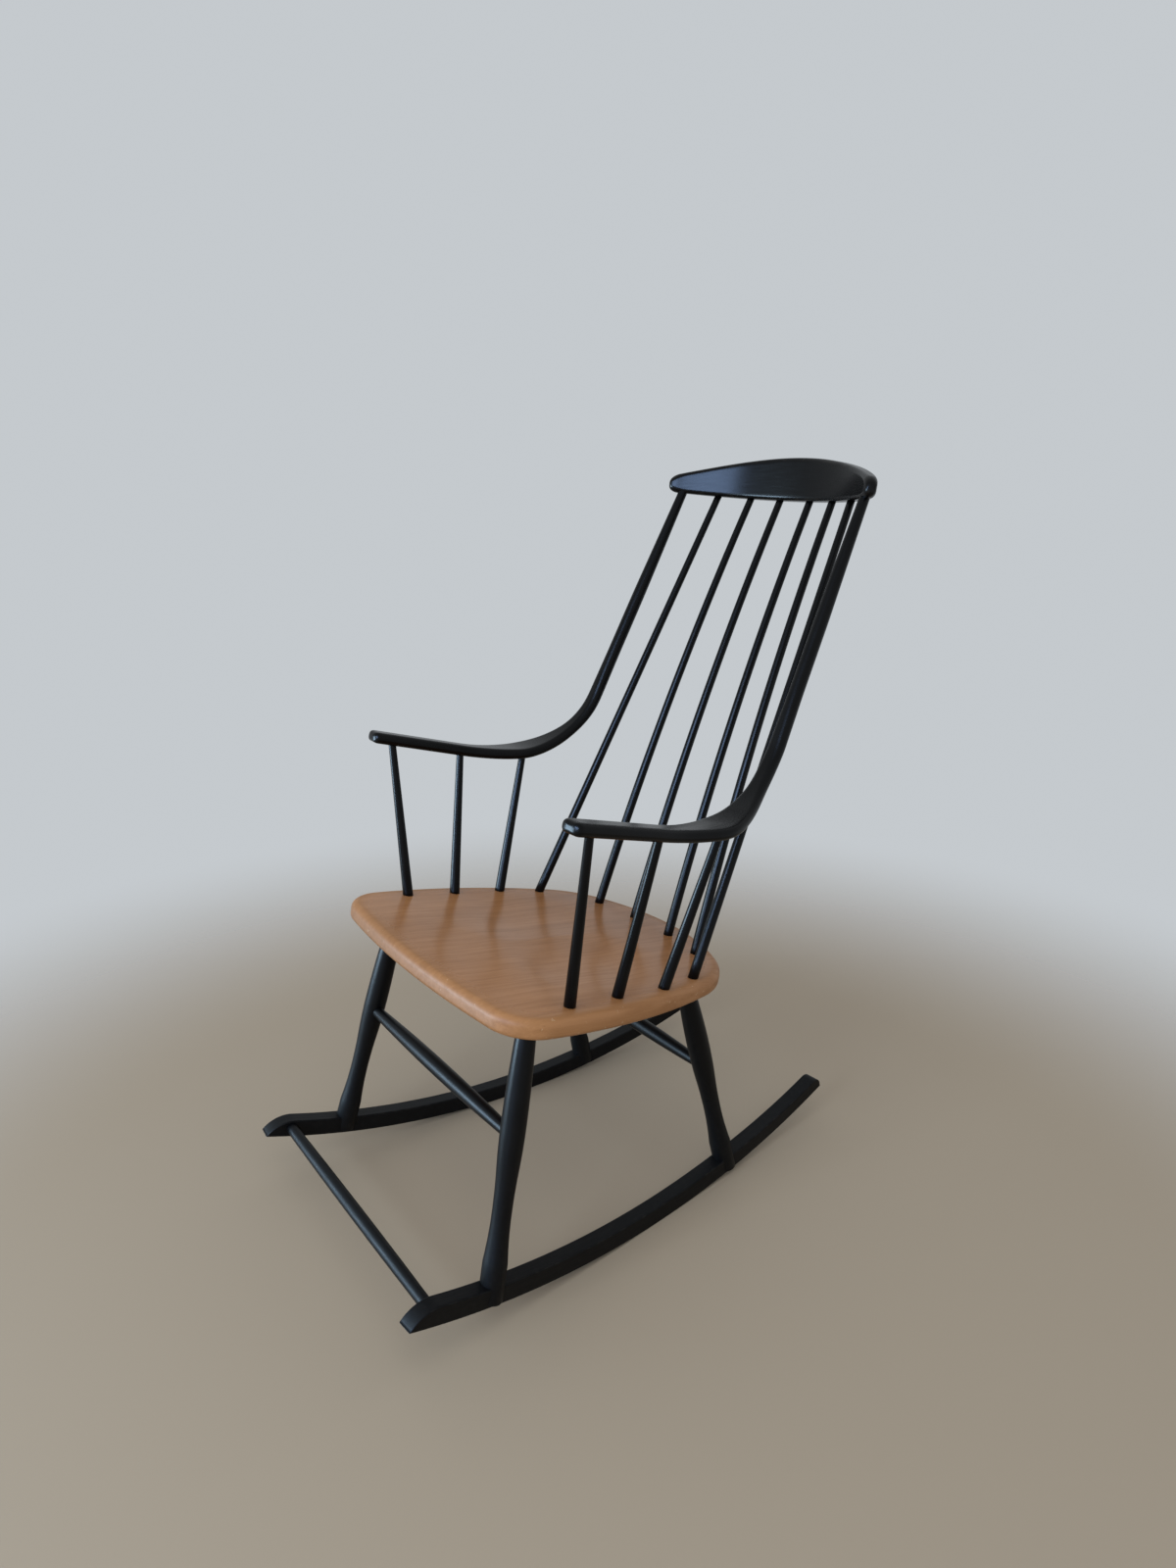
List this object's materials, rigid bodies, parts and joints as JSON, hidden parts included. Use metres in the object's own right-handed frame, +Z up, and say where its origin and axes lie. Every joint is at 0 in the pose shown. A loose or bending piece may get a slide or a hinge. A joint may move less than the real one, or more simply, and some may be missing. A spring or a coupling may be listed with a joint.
{
  "type": "rocking chair",
  "caption": "High-backed wooden rocking chair with a spindle back under a bowed crest rail, bent arm posts, a shaped seat, turned legs and curved rockers joined by a foot bar.",
  "frame": {"origin": "on the floor, midway between the rockers, under the line where their arcs touch the floor", "axes": "+Z up, -Y the way the sitter faces, +X to the sitter's left"},
  "size_m": [0.5558, 0.9028, 1.0938],
  "materials": {
    "black_lacquer": "semi-gloss black lacquer on turned and bent wood",
    "seat_wood": "satin clear lacquer on warm brown wood"
  },
  "bodies": {
    "root": {"seat": "seat_wood", "crest_rail": "black_lacquer", "front_stretcher": "black_lacquer", "rear_stretcher": "black_lacquer", "foot_bar": "black_lacquer", "left_arm_post": "black_lacquer", "left_rocker": "black_lacquer", "left_front_arm_spindle": "black_lacquer", "left_middle_arm_spindle": "black_lacquer", "left_rear_arm_spindle": "black_lacquer", "left_outer_back_spindle": "black_lacquer", "left_middle_back_spindle": "black_lacquer", "left_inner_back_spindle": "black_lacquer", "left_front_leg": "black_lacquer", "left_rear_leg": "black_lacquer", "left_front_rocker_pin": "black_lacquer", "left_rear_rocker_pin": "black_lacquer", "right_arm_post": "black_lacquer", "right_rocker": "black_lacquer", "right_front_arm_spindle": "black_lacquer", "right_middle_arm_spindle": "black_lacquer", "right_rear_arm_spindle": "black_lacquer", "right_outer_back_spindle": "black_lacquer", "right_middle_back_spindle": "black_lacquer", "right_inner_back_spindle": "black_lacquer", "right_front_leg": "black_lacquer", "right_rear_leg": "black_lacquer", "right_front_rocker_pin": "black_lacquer", "right_rear_rocker_pin": "black_lacquer"}
  },
  "joints": []
}
